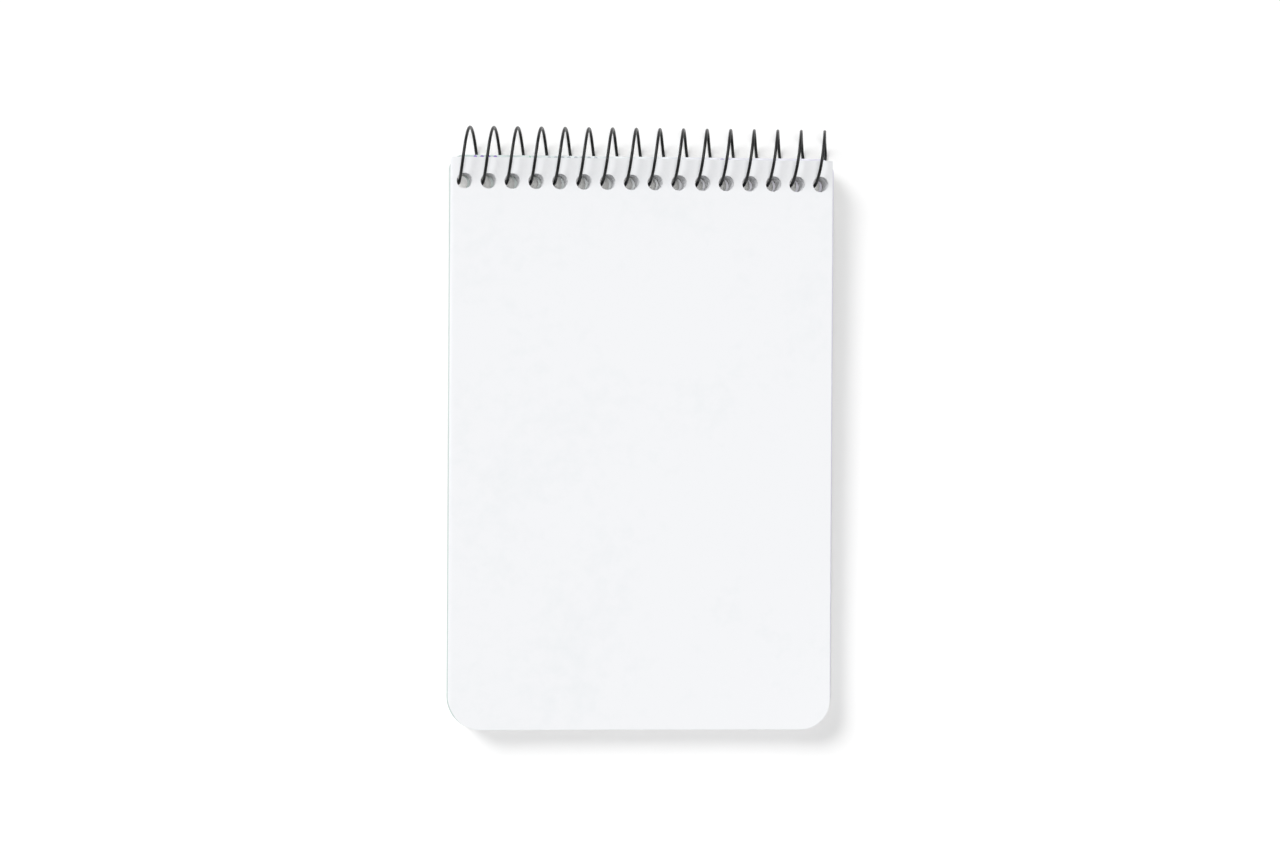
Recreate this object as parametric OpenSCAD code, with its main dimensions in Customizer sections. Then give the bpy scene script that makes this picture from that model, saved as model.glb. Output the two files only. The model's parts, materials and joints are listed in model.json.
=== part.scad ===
// A top-spiral pocket notebook: fifty punched leaves and a back board on one wire
// coil, with the front cover folded round behind the pad.
//
// X runs along the coil, +Y points from the leaves towards the coil, and +Z points
// up off the top leaf. The origin is under the middle of the notebook, on the plane
// that touches the underside of the coil. Sizes are in millimetres.

/* [Leaves] */
// Number of leaves in the pad
leaf_count = 50; // [10:1:56]
// Width of a leaf, along the coil
leaf_w = 101.6; // [100:0.1:140]
// Length of a leaf, from its punched edge to its foot
leaf_l = 152.4; // [90:0.1:210]
// Thickness of one sheet of paper
leaf_t = 0.10; // [0.07:0.01:0.10]
// Air between one leaf and the next
leaf_air = 0.02; // [0.01:0.01:0.03]
// Radius of the two corners at the foot
foot_r = 8; // [3:0.5:12]

/* [Punching] */
// Number of holes in the row
hole_count = 16; // [8:1:16]
// Distance from one hole to the next
hole_pitch = 6.35; // [6.2:0.05:6.35]
// Diameter of a hole
hole_d = 4.2; // [4:0.05:4.4]
// Distance from the middle of the row to the punched edge
hole_edge = 6.28; // [5.8:0.02:6.3]

/* [Coil] */
// Diameter of the wire
wire_d = 0.8; // [0.6:0.05:0.8]
// Radius of the coil, to the middle of the wire
coil_r = 7.5; // [7.4:0.05:7.8]
// Distance from the coil's axis to the row of holes, along the leaf
axis_to_holes = 7.1; // [7:0.05:7.2]
// Height of the top leaf's upper face above the coil's axis
top_height = 3.5; // [3:0.1:3.6]
// How far left of the middle of its hole the wire crosses the top leaf
wire_offset = 1.28; // [1.25:0.01:1.36]
// How much of the wire's sideways slant the stack of leaves takes up
stack_lean = 0.95; // [0.9:0.01:1]
// How far the cut ends of the wire are crimped inwards
crimp = 1.4; // [0:0.1:2]

/* [Covers] */
// Thickness of the back board
back_t = 0.7; // [0.4:0.05:0.8]
// Thickness of the front cover
front_t = 0.35; // [0.2:0.05:0.4]
// How far the front cover stands past a leaf's edge at each side
cover_side = 1.2; // [0.8:0.1:2.5]
// How far it stands past the punched edge
cover_head = 1.35; // [0:0.05:1.35]
// How far it stands past the foot
cover_foot = 1.1; // [0:0.1:3]
// Radius of the front cover's corners at the coil
cover_head_r = 4; // [1:0.5:4]
// How far left of the middle of the cover's hole the wire crosses it
cover_slack = 0.7; // [0.6:0.05:0.75]
// Width of the line scored across the front cover
score_w = 1; // [0.5:0.1:2]
// Depth of the scored line
score_depth = 0.1; // [0.05:0.01:0.12]

/* [Hidden] */
cover_air = 0.03;                   // between the back board and the front cover
score_below_holes = 3.6;            // from the row of holes to the scored line
wire_sides = 8;
steps_per_turn = 36;
turn_past_low = 1 / steps_per_turn; // the wire ends just past its lowest point
crimp_turns = 3 / steps_per_turn;   // the stretch of wire that the crimp bends
slope_step = 0.001;                 // in turns, for the wire's direction

wire_r = wire_d / 2;
coil_outer_r = coil_r + wire_r;
leaf_step = leaf_t + leaf_air;
stack_t = leaf_count * leaf_step - leaf_air;
length_below_holes = leaf_l - hole_edge;
notebook_l = coil_outer_r + axis_to_holes + length_below_holes + cover_foot;
axis_y = notebook_l / 2 - coil_outer_r;
axis_z = coil_outer_r;
hole_y = axis_y - axis_to_holes;
row_l = (hole_count - 1) * hole_pitch;
back_z = axis_z + top_height - stack_t - leaf_air - back_t;
front_z = back_z - cover_air - front_t;
first_turn = -0.5 + turn_past_low;
last_turn = hole_count - 0.5 + turn_past_low;
wire_steps = round((last_turn - first_turn) * steps_per_turn);

paper = "#F4F5F7";
board = "#B7AFA3";
printed_card = "#CFE3E0";
black_wire = "#2B2D2E";

function leaf_name(k) = str("leaf_", k < 10 ? "0" : "", k);

// The underside of leaf k, counted from the top
function leaf_z(k) = axis_z + top_height - leaf_t - (k - 1) * leaf_step;

// Turns are counted from the top of the loop over the first hole. Each turn goes
// over the head of the notebook, down behind it and up through the next hole, so
// this is where the wire passes a height h above the axis inside the holes.
function wire_turn(h) = (asin(h / coil_r) - 90) / 360;

// How far the wire has moved sideways between the top leaf and the height h
function wire_slant(h) = hole_pitch * (wire_turn(h) - wire_turn(top_height));

// The crimp bends the last stretch of wire along a parabola
function bend(turns) = turns > 0 ? crimp * pow(turns / crimp_turns, 2) : 0;

function wire_x(u) = -row_l / 2 - wire_offset + hole_pitch * (u - wire_turn(top_height))
                     + bend(first_turn + crimp_turns - u) - bend(u - last_turn + crimp_turns);
function outward(u) = [0, sin(360 * u), cos(360 * u)];
function wire_centre(u) = [wire_x(u), axis_y, axis_z] + coil_r * outward(u);
function unit(v) = v / norm(v);
function wire_direction(u) = unit(wire_centre(u + slope_step) - wire_centre(u - slope_step));

// One ring of points round the wire: its radius turned in the plane across the wire
function wire_ring(u) =
    let (across = cross(wire_direction(u), outward(u)))
    [for (i = [0:wire_sides - 1])
        wire_centre(u) + wire_r * (outward(u) * cos(i * 360 / wire_sides)
                                   + across * sin(i * 360 / wire_sides))];

function ring_point(ring, i) = ring * wire_sides + i % wire_sides;

// A flat sheet with square or rounded corners at the head and round ones at the foot
module sheet_outline(w, head_y, foot_y, head_r, corner_r) {
    translate([-w / 2 + corner_r, foot_y]) square([w - 2 * corner_r, corner_r]);
    translate([-w / 2, foot_y + corner_r]) square([w, head_y - head_r - foot_y - corner_r]);
    for (side = [-1, 1]) {
        translate([side * (w / 2 - corner_r), foot_y + corner_r]) circle(r = corner_r, $fn = 96);
        if (head_r > 0) {
            translate([side * (w / 2 - head_r), head_y - head_r]) circle(r = head_r, $fn = 96);
        }
    }
    if (head_r > 0) {
        translate([-w / 2 + head_r, head_y - head_r]) square([w - 2 * head_r, head_r]);
    }
}

module hole_row() {
    for (i = [0:hole_count - 1]) {
        translate([-row_l / 2 + i * hole_pitch, hole_y]) circle(d = hole_d, $fn = 48);
    }
}

// A leaf-sized sheet, shifted sideways with the wire as the stack is
module pad_sheet(z, thickness) {
    middle = z + thickness / 2 - axis_z;
    translate([stack_lean * wire_slant(middle), 0, z])
        linear_extrude(height = thickness)
            difference() {
                sheet_outline(leaf_w, hole_y + hole_edge, hole_y - length_below_holes, 0, foot_r);
                hole_row();
            }
}

module leaf(k) {
    color(paper) pad_sheet(leaf_z(k), leaf_t);
}

module back_cover() {
    color(board) pad_sheet(back_z, back_t);
}

// Its row of holes is set sideways so that the wire clears them as the pad lifts
module front_cover() {
    cover_w = leaf_w + 2 * cover_side;
    head_y = hole_y + hole_edge + cover_head;
    foot_y = hole_y - length_below_holes - cover_foot;
    holes_x = wire_slant(front_z + front_t / 2 - axis_z) - wire_offset + cover_slack;
    color(printed_card)
        translate([0, 0, front_z])
            difference() {
                linear_extrude(height = front_t)
                    difference() {
                        sheet_outline(cover_w, head_y, foot_y, cover_head_r, foot_r + cover_side);
                        translate([holes_x, 0]) hole_row();
                    }
                translate([-cover_w, hole_y - score_below_holes - score_w / 2, -score_depth])
                    cube([2 * cover_w, score_w, 2 * score_depth]);
            }
}

module wire_coil() {
    points = [for (s = [0:wire_steps])
                 each wire_ring(first_turn + s / steps_per_turn)];
    sides = [for (s = [0:wire_steps - 1], i = [0:wire_sides - 1])
                each [[ring_point(s, i), ring_point(s, i + 1), ring_point(s + 1, i)],
                      [ring_point(s, i + 1), ring_point(s + 1, i + 1), ring_point(s + 1, i)]]];
    ends = [[for (i = [0:wire_sides - 1]) wire_sides - 1 - i],
            [for (i = [0:wire_sides - 1]) ring_point(wire_steps, i)]];
    color(black_wire) polyhedron(points = points, faces = concat(sides, ends), convexity = 20);
}

front_cover();
back_cover();
wire_coil();
for (k = [1:leaf_count]) {
    leaf(k);
}
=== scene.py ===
# A top-spiral pocket notebook lying open, with its front cover folded round behind the pad.
# Everything is in metres in the CAD model's own frame: X along the coil, +Y up the leaf, +Z off the page.
import json
import math
import bpy
import numpy as np
from mathutils import Matrix, Vector


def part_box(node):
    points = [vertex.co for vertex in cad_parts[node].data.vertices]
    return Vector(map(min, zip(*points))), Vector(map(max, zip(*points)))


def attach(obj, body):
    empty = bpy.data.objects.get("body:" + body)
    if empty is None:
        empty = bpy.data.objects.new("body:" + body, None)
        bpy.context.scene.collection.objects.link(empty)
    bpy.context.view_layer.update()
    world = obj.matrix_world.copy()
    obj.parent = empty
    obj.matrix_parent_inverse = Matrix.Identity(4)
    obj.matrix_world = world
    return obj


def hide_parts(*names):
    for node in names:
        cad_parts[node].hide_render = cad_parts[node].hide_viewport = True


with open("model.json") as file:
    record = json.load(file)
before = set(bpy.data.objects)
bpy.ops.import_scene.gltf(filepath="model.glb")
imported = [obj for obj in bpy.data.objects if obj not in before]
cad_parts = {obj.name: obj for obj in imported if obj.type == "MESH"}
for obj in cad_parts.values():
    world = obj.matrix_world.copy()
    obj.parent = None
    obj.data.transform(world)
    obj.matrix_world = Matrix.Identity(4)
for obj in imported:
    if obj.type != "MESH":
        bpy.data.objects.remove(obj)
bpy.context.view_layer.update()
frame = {"nodes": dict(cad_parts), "record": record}
mm = 0.001
scene = bpy.context.scene
bodies = frame["record"]["behaviour"]["bodies"]
bodyOf = {node: body for body, nodes in bodies.items() for node in nodes}
creaseAngle = 40             # degrees: edges sharper than this are shaded as edges

camera = {
    "place": (-32.4, 4.6, 594.7),      # mm, a little left of the middle of the notebook
    "tilt": 0.37, "turn": 3.12, "roll": -0.33,    # degrees about X, Y and the line of sight
    "lens": 61.5, "sensor": 36.0,      # mm
}
light = {
    "sky": 0.20, "wall": 1.0,          # the ceiling of a white tent, and its brighter wall all round
    "wallFoot": 0.05, "wallTop": 0.35, # sine of the elevation at which the wall starts to dim, and ends
    "key": 1.80,                       # W/m2 from the lamp up and to the left of the page
    "keyFrom": (-0.82, 0.84, 1.0),
    "keySize": 28.0,                   # degrees across, which sets how soft the shadow's edge is
    "fill": 1.45,                      # W/m2 from the soft box straight above
    "fillSize": 26.0,
}


# sRGB hex to linear, for every colour in the file
def linear(hexCode):
    parts = [int(hexCode[i:i + 2], 16) / 255 for i in (0, 2, 4)]
    return tuple(c / 12.92 if c < 0.04045 else ((c + 0.055) / 1.055) ** 2.4 for c in parts) + (1.0,)


# adds one node: its own settings, values for its sockets, and links as socket: (node, output)
def addNode(tree, kind, settings=None, values=None, links=None):
    node = tree.nodes.new(kind)
    for name, value in (settings or {}).items():
        setattr(node, name, value)
    for name, value in (values or {}).items():
        node.inputs[name].default_value = value
    for name, (source, output) in (links or {}).items():
        tree.links.new(source.outputs[output], node.inputs[name])
    return node


# a new material with its shader, ready for nodes
def newMaterial(name, values):
    material = bpy.data.materials.new(name)
    material.use_nodes = True
    tree = material.node_tree
    shader = tree.nodes["Principled BSDF"]
    for socket, value in values.items():
        shader.inputs[socket].default_value = value
    return material, tree, shader


def makeCamera():
    data = bpy.data.cameras.new("camera")
    data.lens, data.sensor_width = camera["lens"], camera["sensor"]
    data.clip_start, data.clip_end = 0.01, 10
    eye = bpy.data.objects.new("camera", data)
    scene.collection.objects.link(eye)
    turned = (Matrix.Rotation(-math.radians(camera["turn"]), 4, "Y")
              @ Matrix.Rotation(-math.radians(camera["tilt"]), 4, "X")
              @ Matrix.Rotation(-math.radians(camera["roll"]), 4, "Z"))
    eye.matrix_world = Matrix.Translation([v * mm for v in camera["place"]]) @ turned
    scene.camera = eye


# The wire coil. The holes use these sizes too, because they have to sit round it.
coil = {
    "radius": 7.5, "wire": 0.8,        # mm, to the middle of the wire, and across it
    "pitch": 6.35, "holes": 16,
    "offset": 1.28,                    # how far left of its hole's middle the wire crosses the top leaf
    "topHeight": 3.5,                  # the top leaf's face above the coil's axis
    "pastLow": 1 / 36,                 # turns past the coil's lowest line, where the wire is cut
    "crimp": 1.4, "crimpTurns": 3 / 36,     # mm that the ends are bent inwards, and over how many turns
    "sides": 16, "stepsPerTurn": 72,
    "domeRings": 5, "domeStart": 0.12, "domeHeight": 0.35,   # the cut ends: rings, radians, wire radii
}
coilLow, coilHigh = (np.array(corner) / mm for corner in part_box("wire_coil"))
axisY = coilHigh[1] - coil["radius"] - coil["wire"] / 2
axisZ = (coilLow[2] + coilHigh[2]) / 2
rowLength = (coil["holes"] - 1) * coil["pitch"]


# turns from the top of a loop back to the height h above the axis, on the side of the holes
def turnAt(h):
    return (np.degrees(np.arcsin(h / coil["radius"])) - 90) / 360


# how far the wire slants sideways between the top leaf and the height h
def slantAt(h):
    return coil["pitch"] * (turnAt(h) - turnAt(coil["topHeight"]))


# puts arrays of points and faces into a mesh object; marks gives each face's material
def meshObject(name, points, faces, materials, marks=None):
    mesh = bpy.data.meshes.new(name)
    mesh.from_pydata((points * mm).tolist(), [], faces)
    if marks is not None:
        mesh.polygons.foreach_set("material_index", np.asarray(marks, dtype=np.int32))
    mesh.polygons.foreach_set("use_smooth", np.full(len(mesh.polygons), True))
    for material in materials:
        mesh.materials.append(material)
    mesh.update()
    mesh.set_sharp_from_angle(angle=math.radians(creaseAngle))
    thing = bpy.data.objects.new(name, mesh)
    scene.collection.objects.link(thing)
    return thing


# The wire's middle at u turns is [x(u), axis + R sin(2 pi u), axis + R cos(2 pi u)]; x grows by one
# pitch a turn, and each end is bent inwards along a parabola.
def wireMiddle(u):
    first = -0.5 + coil["pastLow"]
    last = coil["holes"] - 0.5 + coil["pastLow"]
    startBend = np.clip((first + coil["crimpTurns"] - u) / coil["crimpTurns"], 0, None) ** 2
    endBend = np.clip((u - last + coil["crimpTurns"]) / coil["crimpTurns"], 0, None) ** 2
    x = (-rowLength / 2 - coil["offset"] + coil["pitch"] * (u - turnAt(coil["topHeight"]))
         + coil["crimp"] * (startBend - endBend))
    angle = 2 * np.pi * u
    return np.stack([x, axisY + coil["radius"] * np.sin(angle), axisZ + coil["radius"] * np.cos(angle)], -1)


# A round tube: at each step along the wire a circle of its radius, in the plane of the coil's own
# outward direction and the direction across the wire. The circles shrink to a low dome at each end.
def makeCoil(material):
    sides, dome = coil["sides"], coil["domeRings"]
    first = -0.5 + coil["pastLow"]
    steps = coil["holes"] * coil["stepsPerTurn"]
    u = first + np.arange(steps + 1) / coil["stepsPerTurn"]
    rise = np.linspace(0, np.pi / 2, dome + 1)[:-1] + coil["domeStart"]
    u = np.concatenate([np.full(dome, u[0]), u[1:-1], np.full(dome, u[-1])])
    swell = np.concatenate([np.sin(rise), np.ones(steps - 1), np.sin(rise)[::-1]])
    push = np.concatenate([-np.cos(rise), np.zeros(steps - 1), np.cos(rise)[::-1]])
    middle = wireMiddle(u)
    nudge = 1e-3                       # turns, to either side, for the direction along the wire
    along = wireMiddle(u + nudge) - wireMiddle(u - nudge)
    along /= np.linalg.norm(along, axis=1, keepdims=True)
    outward = np.stack([np.zeros(len(u)), np.sin(2 * np.pi * u), np.cos(2 * np.pi * u)], -1)
    across = np.cross(along, outward)
    radius = coil["wire"] / 2
    middle = middle + along * (push * radius * coil["domeHeight"])[:, None]
    angle = np.arange(sides) * 2 * np.pi / sides
    circle = (outward[:, None] * np.cos(angle)[None, :, None]
              + across[:, None] * np.sin(angle)[None, :, None])
    points = (middle[:, None] + radius * swell[:, None, None] * circle).reshape(-1, 3)
    ring = np.arange(len(u) - 1)[:, None] * sides
    side = np.arange(sides)[None, :]
    nextSide = (side + 1) % sides
    quads = np.stack([ring + side, ring + nextSide, ring + sides + nextSide, ring + sides + side], -1)
    faces = quads.reshape(-1, 4).tolist()
    lastRing = (len(u) - 1) * sides
    faces.append(list(range(sides))[::-1])
    faces.append(list(range(lastRing, lastRing + sides)))
    piece = meshObject("black_wire_coil", points, faces, [material])
    cut = np.zeros(len(points))
    cut[:sides * dome], cut[-sides * dome:] = 1, 1
    piece.data.attributes.new("cutEnd", "FLOAT", "POINT").data.foreach_set("value", cut)
    return piece


# Leaves, board and cover are one kind of mesh.
# The band at the head is one cell per hole. Each cell is a set of rings from the round hole out to
# the cell's square edge; below the band is a plain grid. The corners are rounded by mapping the
# corner's square (u, v) to (u sqrt(1 - v2/2), v sqrt(1 - u2/2)).
def sheetQuads(sheet):
    left, right = sheet["middleX"] - sheet["width"] / 2, sheet["middleX"] + sheet["width"] / 2
    head, foot, row = sheet["head"], sheet["foot"], sheet["rowY"]
    holeX = sheet["rowX"] + (np.arange(coil["holes"]) - (coil["holes"] - 1) / 2) * coil["pitch"]
    edges = np.concatenate([[left], (holeX[:-1] + holeX[1:]) / 2, [right]])
    counts = np.where(np.minimum(np.arange(coil["holes"]), np.arange(coil["holes"])[::-1]) < 2,
                      sheet["edgeColumns"], sheet["columns"])
    bandFoot = row - sheet["bandBelow"]
    rows = sheet["bandRows"]
    quads = []
    for i, count in enumerate(counts):
        across = np.linspace(edges[i], edges[i + 1], count + 1)
        up = np.linspace(bandFoot, head, rows + 1)
        outline = np.concatenate([
            np.stack([across[:-1], np.full(count, bandFoot)], -1),
            np.stack([np.full(rows, edges[i + 1]), up[:-1]], -1),
            np.stack([across[:0:-1], np.full(count, head)], -1),
            np.stack([np.full(rows, edges[i]), up[:0:-1]], -1)])
        total = len(outline)
        angle = -np.pi / 2 - np.pi * count / total + 2 * np.pi * np.arange(total) / total
        hole = np.array([holeX[i], row]) + sheet["hole"] / 2 * np.stack([np.cos(angle), np.sin(angle)], -1)
        share = np.array(sheet["rings"])[:, None, None]
        rings = hole[None] * (1 - share) + outline[None] * share
        after = np.roll(rings, -1, axis=1)
        quads.append(np.stack([rings[:-1], rings[1:], after[1:], after[:-1]], 2).reshape(-1, 4, 2))
    columnX = np.concatenate([np.linspace(edges[i], edges[i + 1], n + 1)[:-1] for i, n in enumerate(counts)]
                             + [[right]])
    fine = np.linspace(0, sheet["footRadius"], sheet["footRows"] + 1)
    plain = np.linspace(foot + sheet["footRadius"], bandFoot, sheet["rows"] + 1)
    rowY = np.unique(np.round(np.concatenate([foot + fine, plain, sheet.get("extraRows", [])]), 5))
    gridX, gridY = np.meshgrid(columnX, rowY)
    grid = np.stack([gridX, gridY], -1)
    cells = [grid[:-1, :-1], grid[:-1, 1:], grid[1:, 1:], grid[1:, :-1]]
    quads.append(np.stack(cells, 2).reshape(-1, 4, 2))
    corners = np.concatenate(quads).reshape(-1, 2)
    for radius, centreY, sign in ((sheet["footRadius"], foot + sheet["footRadius"], -1),
                                  (sheet["headRadius"], head - sheet["headRadius"], 1)):
        if radius <= 0:
            continue
        side = np.sign(corners[:, 0] - sheet["middleX"])
        across = (np.abs(corners[:, 0] - sheet["middleX"]) - sheet["width"] / 2 + radius) / radius
        down = sign * (corners[:, 1] - centreY) / radius
        inside = (across > 0) & (down > 0)
        u, v = across[inside], down[inside]
        corners[inside, 0] = (sheet["middleX"] + side[inside]
                              * (sheet["width"] / 2 - radius + radius * u * np.sqrt(1 - v * v / 2)))
        corners[inside, 1] = centreY + sign * radius * v * np.sqrt(1 - u * u / 2)
    flat, where = np.unique(np.round(corners, 4), axis=0, return_inverse=True)
    return flat, where.reshape(-1, 4)


# Gives the flat quads a thickness: the upper face, the lower face turned over, and a wall along every
# edge that only one quad has. lift(x, y) is the height of the lower face and thick(x, y) the thickness.
def makeSheet(name, sheet, lift, materials, thick=None):
    flat, quads = sheetQuads(sheet)
    x, y = flat[:, 0], flat[:, 1]
    low = sheet["z"] + lift(x, y)
    depth = np.full(len(flat), sheet["thickness"])
    pressed = thick(x, y) if thick else np.zeros(len(flat))
    points = np.concatenate([np.stack([x, y, low + depth], -1), np.stack([x, y, low + pressed], -1)])
    total = len(flat)
    starts, ends = quads.reshape(-1), np.roll(quads, -1, axis=1).reshape(-1)
    key = np.minimum(starts, ends) * total + np.maximum(starts, ends)
    _, first, uses = np.unique(key, return_index=True, return_counts=True)
    rim = first[uses == 1]
    walls = np.stack([starts[rim] + total, ends[rim] + total, ends[rim], starts[rim]], -1)
    faces = np.concatenate([quads, quads[:, ::-1] + total, walls])
    marks = np.concatenate([np.zeros(len(quads)), np.ones(len(quads)), np.full(len(walls), 2)])
    return meshObject(name, points, faces.tolist(), materials, np.minimum(marks, len(materials) - 1))


leaves = {
    "hole": 4.2, "holeEdge": 6.28, "footRadius": 8.0, "headRadius": 0.0,
    "columns": 4, "edgeColumns": 8, "bandRows": 12, "bandBelow": 4.5,
    "rings": [0, 0.16, 0.5, 1], "footRows": 10, "rows": 14,
    "shuffle": 0.07,                   # mm that a leaf may sit out of line with the rest
    "footLift": 0.55,                  # mm that the top leaf's foot stands up off the pad
    "cornerCurl": 0.5,                 # and its two loose corners more
    "flatHead": 12,                    # mm below the punched edge that stay flat
    "wave": 0.22,                      # mm of the soft hollows in a leaf that damp air leaves
    # two waves, each with the mm per radian along X and Y, and where it starts, in radians
    "waves": ((17, 31, 0.6), (-41, 23, 2.1)),
}


# The leaf's height above its flat place: it grows with the cube of the distance from the coil, and at
# the two loose corners with its eighth power times the fourth power of the distance from the middle
# line. Slow waves are added. All of it fades down the pad, so leaves never cross.
def leafLift(box, depth):
    low, high = box
    loose = (1 - depth) ** 2

    def lift(x, y):
        flatTo = high[1] - leaves["flatHead"]
        down = np.clip((flatTo - y) / (flatTo - low[1]), 0, 1)
        out = np.abs(x - (low[0] + high[0]) / 2) / ((high[0] - low[0]) / 2)
        ease = down * down * (3 - 2 * down)
        waves = 2 + sum(np.sin(x / alongX + y / alongY + start)
                        for alongX, alongY, start in leaves["waves"])
        return loose * (leaves["footLift"] * down ** 3 + leaves["cornerCurl"] * down ** 8 * out ** 4
                        + leaves["wave"] * ease * waves / 4)
    return lift


def makeLeaves(material):
    rng = np.random.default_rng(11)
    names = sorted(n for n in frame["nodes"] if n.startswith("leaf_"))
    for k, node in enumerate(names):
        low, high = (np.array(c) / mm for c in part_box(node))
        slip = rng.uniform(-1, 1, 2) * leaves["shuffle"]
        sheet = dict(leaves, middleX=(low[0] + high[0]) / 2 + slip[0], width=high[0] - low[0],
                     head=high[1] + slip[1], foot=low[1] + slip[1],
                     rowY=high[1] - leaves["holeEdge"] + slip[1], z=low[2], thickness=high[2] - low[2])
        sheet["rowX"] = sheet["middleX"]
        piece = makeSheet("paper_" + node, sheet, leafLift((low, high), k / len(names)), [material])
        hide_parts(node)
        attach(piece, bodyOf[node])


covers = {
    "hole": 4.2, "footRadius": 8.0, "headRadius": 0.0,
    "columns": 6, "edgeColumns": 8, "bandRows": 12, "bandBelow": 3.0,
    "rings": [0, 0.16, 0.5, 1], "footRows": 12, "rows": 16,
    "frontHeadRadius": 4.0,
    "slack": 0.7,                      # how far left of the middle of its holes the wire crosses the cover
    "scoreBelow": 3.6, "scoreWidth": 1.0, "scoreDepth": 0.1,
    "scoreRows": [-1, -0.8, -0.4, 0, 0.4, 0.8, 1],   # rows of points across the groove
}


def makeBackCover(material):
    low, high = (np.array(c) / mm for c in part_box("back_cover"))
    sheet = dict(covers, middleX=(low[0] + high[0]) / 2, width=high[0] - low[0], head=high[1], foot=low[1],
                 rowY=high[1] - leaves["holeEdge"], z=low[2], thickness=high[2] - low[2])
    sheet["rowX"] = sheet["middleX"]
    piece = makeSheet("grey_board_back", sheet, lambda x, y: 0 * x, [material])
    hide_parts("back_cover")
    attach(piece, bodyOf["back_cover"])


def makeFrontCover(printed, plain, core):
    low, high = (np.array(c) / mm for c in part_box("front_cover"))
    leafLow, leafHigh = (np.array(c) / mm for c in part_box("leaf_01"))
    rowY = leafHigh[1] - leaves["holeEdge"]
    side = (high[0] - low[0] - leafHigh[0] + leafLow[0]) / 2
    scoreY = rowY - covers["scoreBelow"]
    half = covers["scoreWidth"] / 2
    middle = (low[2] + high[2]) / 2 - axisZ
    sheet = dict(covers, middleX=(low[0] + high[0]) / 2, width=high[0] - low[0], head=high[1], foot=low[1],
                 rowY=rowY, rowX=slantAt(middle) - coil["offset"] + covers["slack"], z=low[2],
                 thickness=high[2] - low[2], headRadius=covers["frontHeadRadius"],
                 footRadius=covers["footRadius"] + side,
                 extraRows=scoreY + half * np.array(covers["scoreRows"]))

    # the scored line is a shallow round groove, half a cosine wave across
    def groove(x, y):
        return covers["scoreDepth"] * np.cos(np.clip((y - scoreY) / half, -1, 1) * np.pi / 2)

    piece = makeSheet("printed_front_cover", sheet, lambda x, y: 0 * x, [printed, plain, core], groove)
    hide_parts("front_cover")
    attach(piece, bodyOf["front_cover"])


# Uncoated wood-free writing paper, calendered: almost white, faintly blue from brightener, with the
# cloudy look of its fibres when light grazes it, and a very fine tooth.
def writingPaper():
    cloudSize, patchSize = 3.5, 30     # mm
    toothSize = 0.35                   # mm; real tooth is about 0.05, drawn coarser so that it shows
    material, tree, shader = newMaterial("uncoatedWritingPaper", {
        "Roughness": 0.72, "Specular IOR Level": 0.35, "IOR": 1.5})
    place = addNode(tree, "ShaderNodeTexCoord")
    cloud = addNode(tree, "ShaderNodeTexNoise", values={"Scale": 1 / (cloudSize * mm), "Detail": 4.0,
                    "Roughness": 0.6}, links={"Vector": (place, "Object")})
    patch = addNode(tree, "ShaderNodeTexNoise", values={"Scale": 1 / (patchSize * mm), "Detail": 2.0},
                    links={"Vector": (place, "Object")})
    both = addNode(tree, "ShaderNodeMath", {"operation": "ADD"},
                   links={0: (cloud, "Fac"), 1: (patch, "Fac")})
    ramp = addNode(tree, "ShaderNodeValToRGB", links={"Fac": (both, 0)})
    ramp.color_ramp.elements[0].position = 0.6
    ramp.color_ramp.elements[0].color = linear("E9EBED")
    ramp.color_ramp.elements[1].color = linear("EDEEF0")
    tree.links.new(ramp.outputs["Color"], shader.inputs["Base Color"])
    tooth = addNode(tree, "ShaderNodeTexNoise", values={"Scale": 1 / (toothSize * mm), "Detail": 5.0,
                    "Roughness": 0.65}, links={"Vector": (place, "Object")})
    bump = addNode(tree, "ShaderNodeBump", values={"Strength": 0.12, "Distance": 0.02 * mm},
                   links={"Height": (tooth, "Fac")})
    tree.links.new(bump.outputs["Normal"], shader.inputs["Normal"])
    return material


# Spring-steel wire in a baked black nylon coat: near black, smooth, with a soft sheen; the sheared
# ends show bare steel.
def coatedWire():
    material, tree, shader = newMaterial("blackNylonCoatedWire", {
        "IOR": 1.52, "Specular IOR Level": 0.32, "Coat Weight": 0.1, "Coat Roughness": 0.25})
    place = addNode(tree, "ShaderNodeTexCoord")
    grainSize = 0.9                    # mm
    grain = addNode(tree, "ShaderNodeTexNoise", values={"Scale": 1 / (grainSize * mm), "Detail": 3.0},
                    links={"Vector": (place, "Object")})
    ramp = addNode(tree, "ShaderNodeValToRGB", links={"Fac": (grain, "Fac")})
    ramp.color_ramp.elements[0].color = linear("0A0B0C")
    ramp.color_ramp.elements[1].color = linear("151718")
    cut = addNode(tree, "ShaderNodeAttribute", {"attribute_name": "cutEnd"})
    mix = addNode(tree, "ShaderNodeMix", {"data_type": "RGBA"}, links={0: (cut, "Fac"), 6: (ramp, "Color")})
    mix.inputs[7].default_value = linear("A9ABAA")
    tree.links.new(mix.outputs[2], shader.inputs["Base Color"])
    tree.links.new(cut.outputs["Fac"], shader.inputs["Metallic"])
    rough = addNode(tree, "ShaderNodeMapRange", values={"To Min": 0.3, "To Max": 0.42},
                    links={"Value": (grain, "Fac")})
    tree.links.new(rough.outputs["Result"], shader.inputs["Roughness"])
    return material


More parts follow.
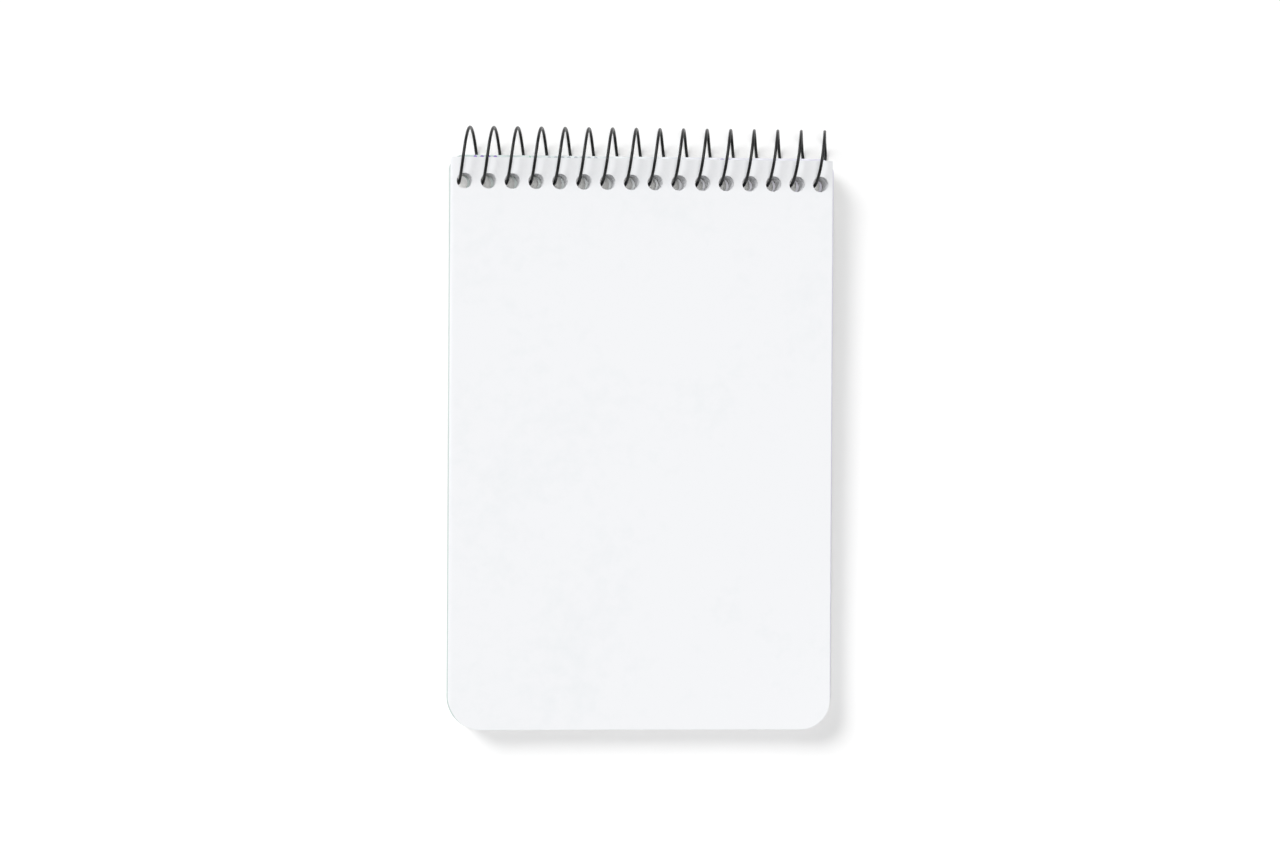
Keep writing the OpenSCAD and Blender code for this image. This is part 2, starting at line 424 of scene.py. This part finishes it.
# Grey recycled board: speckled with darker and lighter fibres, dull.
def recycledBoard(name="recycledGreyBoard", dark="8F877B", pale="C3BBAF"):
    material, tree, shader = newMaterial(name, {"Roughness": 0.85, "Specular IOR Level": 0.25})
    place = addNode(tree, "ShaderNodeTexCoord")
    fibreSize = 1.1                    # mm
    fibre = addNode(tree, "ShaderNodeTexNoise", values={"Scale": 1 / (fibreSize * mm), "Detail": 8.0,
                    "Roughness": 0.75}, links={"Vector": (place, "Object")})
    ramp = addNode(tree, "ShaderNodeValToRGB", links={"Fac": (fibre, "Fac")})
    ramp.color_ramp.elements[0].position, ramp.color_ramp.elements[1].position = 0.3, 0.62
    ramp.color_ramp.elements[0].color = linear(dark)
    ramp.color_ramp.elements[1].color = linear(pale)
    tree.links.new(ramp.outputs["Color"], shader.inputs["Base Color"])
    bump = addNode(tree, "ShaderNodeBump", values={"Strength": 0.3, "Distance": 0.03 * mm},
                   links={"Height": (fibre, "Fac")})
    tree.links.new(bump.outputs["Normal"], shader.inputs["Normal"])
    return material


# Card printed in soft washes of teal and lavender with rows of small dots, under a thin varnish: a
# low, even gloss. One grey run in the rows of dots is painted shadow, not print.
card = {
    "washSize": 45.0,                  # mm
    "dot": 1.1, "dotPitch": 1.8, "rowPitch": 17.0, "dotEdge": 0.06,   # mm; dotEdge is the soft rim
    "firstRowIn": 0.6,                 # from the head edge of the card to the first row of dots
    "teal": "B8C6C4", "white": "DFE3E5", "lavender": "D9D5E6",
    # where each run of dots starts, in mm along the coil, its colour, and how strongly it is printed.
    # The grey run from -25.8 to -11.8 mm is painted shadow: it copies the shade line along the cover's
    # head edge, and repeats in every row down the card.
    "runs": [(-52.0, "F0F2F4", 0.0), (-45.9, "6F3FA8", 0.95), (-38.7, "F0F2F4", 0.0),
             # the grey run that starts at -25.8 is painted shadow along the head edge; the purple and green
             # runs are print
             (-30.8, "2FA070", 0.95), (-29.1, "F0F2F4", 0.0), (-25.8, "9AA0A8", 0.8),
             (-11.8, "F0F2F4", 0.0), (20.0, "6F3FA8", 0.35), (24.0, "F0F2F4", 0.0)],
}


def printedCard():
    leftEnd = card["runs"][0][0]
    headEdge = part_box("front_cover")[1][1] / mm
    material, tree, shader = newMaterial("varnishedPrintedCard", {
        "Roughness": 0.42, "Specular IOR Level": 0.5, "Coat Weight": 0.2, "Coat Roughness": 0.3})
    place = addNode(tree, "ShaderNodeTexCoord")
    wash = addNode(tree, "ShaderNodeTexNoise", values={"Scale": 1 / (card["washSize"] * mm), "Detail": 3.0,
                   "Distortion": 0.6}, links={"Vector": (place, "Object")})
    parts = addNode(tree, "ShaderNodeSeparateXYZ", links={"Vector": (place, "Object")})
    across = addNode(tree, "ShaderNodeMapRange",
                     values={"From Min": leftEnd * mm, "From Max": -leftEnd * mm},
                     links={"Value": (parts, "X")})
    wander = addNode(tree, "ShaderNodeMath", {"operation": "MULTIPLY_ADD"}, {1: 0.5, 2: -0.25},
                     {0: (wash, "Fac")})
    blend = addNode(tree, "ShaderNodeMath", {"operation": "ADD"}, links={0: (across, 0), 1: (wander, 0)})
    tint = addNode(tree, "ShaderNodeValToRGB", links={"Fac": (blend, 0)})
    tint.color_ramp.elements[0].color = linear(card["teal"])
    tint.color_ramp.elements[1].color = linear(card["lavender"])
    tint.color_ramp.elements.new(0.5).color = linear(card["white"])
    # a dot is where the distance to the nearest dot's middle, by ping-pong along and across, is small
    along = addNode(tree, "ShaderNodeMath", {"operation": "PINGPONG"}, {1: card["dotPitch"] / 2 * mm},
                    {0: (parts, "X")})
    fromRow = addNode(tree, "ShaderNodeMath", {"operation": "SUBTRACT"},
                      {1: (headEdge - card["firstRowIn"]) * mm}, {0: (parts, "Y")})
    down = addNode(tree, "ShaderNodeMath", {"operation": "PINGPONG"}, {1: card["rowPitch"] / 2 * mm},
                   {0: (fromRow, 0)})
    both = addNode(tree, "ShaderNodeCombineXYZ", links={"X": (along, 0), "Y": (down, 0)})
    reach = addNode(tree, "ShaderNodeVectorMath", {"operation": "LENGTH"}, links={0: (both, 0)})
    dot = addNode(tree, "ShaderNodeMapRange", values={
        "From Min": (card["dot"] / 2 - card["dotEdge"]) * mm, "From Max": (card["dot"] / 2) * mm,
        "To Min": 1.0, "To Max": 0.0}, links={"Value": (reach, "Value")})
    # colour of the dots along X: the grey run is painted shadow, the other runs are print
    ink = addNode(tree, "ShaderNodeValToRGB", links={"Fac": (across, 0)})
    ink.color_ramp.interpolation = "CONSTANT"
    for start, colour, strength in card["runs"]:
        spot = (start - leftEnd) / (-2 * leftEnd)
        stop = ink.color_ramp.elements[0] if spot == 0 else ink.color_ramp.elements.new(spot)
        stop.color = linear(colour)[:3] + (strength,)
    ink.color_ramp.elements.remove(ink.color_ramp.elements[-1])
    share = addNode(tree, "ShaderNodeMath", {"operation": "MULTIPLY"},
                    links={0: (dot, 0), 1: (ink, "Alpha")})
    printed = addNode(tree, "ShaderNodeMix", {"data_type": "RGBA"},
                      links={0: (share, 0), 6: (tint, "Color"), 7: (ink, "Color")})
    tree.links.new(printed.outputs[2], shader.inputs["Base Color"])
    return material


floor = {
    "size": 60.0,                      # metres, so that its far edge is never seen
    "gap": 0.02,                       # mm left under the notebook
    "colour": "FDFDFD", "roughness": 0.6,
}


# The floor touches the coil and the foot of the folded cover, as a table does: a notebook on a coil
# leans a little towards its foot. Its slope is that of the tangent from the foot's edge to the coil.
def makeFloor():
    low, high = (np.array(c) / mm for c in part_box("front_cover"))
    across, up = axisY - low[1], axisZ - low[2]
    outer = coil["radius"] + coil["wire"] / 2
    slope = math.atan2(up, across) - math.asin(outer / math.hypot(across, up))
    half = floor["size"] / mm / 2
    y = np.array([-half, half])
    z = low[2] + (y - low[1]) * math.tan(slope) - floor["gap"]
    points = np.array([[-half, y[0], z[0]], [half, y[0], z[0]], [half, y[1], z[1]], [-half, y[1], z[1]]])
    material, tree, shader = newMaterial("whitePaintedTable", {
        "Base Color": linear(floor["colour"]), "Roughness": floor["roughness"], "Specular IOR Level": 0.2})
    ground = meshObject("floor", points, [[0, 1, 2, 3]], [material])


def makeLight():
    world = bpy.data.worlds.new("whiteTent")
    world.use_nodes = True
    tree = world.node_tree
    place = addNode(tree, "ShaderNodeTexCoord")
    parts = addNode(tree, "ShaderNodeSeparateXYZ", links={"Vector": (place, "Generated")})
    fade = addNode(tree, "ShaderNodeMapRange", values={
        "From Min": light["wallFoot"], "From Max": light["wallTop"],
        "To Min": light["wall"], "To Max": light["sky"]}, links={"Value": (parts, "Z")})
    sky = tree.nodes["Background"]
    sky.inputs["Color"].default_value = (1, 1, 1, 1)
    tree.links.new(fade.outputs["Result"], sky.inputs["Strength"])
    scene.world = world
    for name, place in (("key", light["keyFrom"]), ("fill", (0, 0, 1))):
        lamp = bpy.data.lights.new(name, "SUN")
        lamp.energy, lamp.angle = light[name], math.radians(light[name + "Size"])
        thing = bpy.data.objects.new(name, lamp)
        thing.rotation_euler = Vector(place).to_track_quat("Z", "Y").to_euler()
        scene.collection.objects.link(thing)
    scene.view_settings.view_transform = "Standard"


makeCamera()
print("camera ready")
coilPiece = makeCoil(coatedWire())
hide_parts("wire_coil")
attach(coilPiece, bodyOf["wire_coil"])
print("coil wound")
makeLeaves(writingPaper())
print("leaves cut and punched")
makeBackCover(recycledBoard())
makeFrontCover(printedCard(), recycledBoard("uncoatedCardBack", "D9D9D6", "EDEDEA"),
               recycledBoard("cardCore", "E4E4E0", "F2F2EF"))
print("covers ready")
makeFloor()
makeLight()
print("floor and light ready")
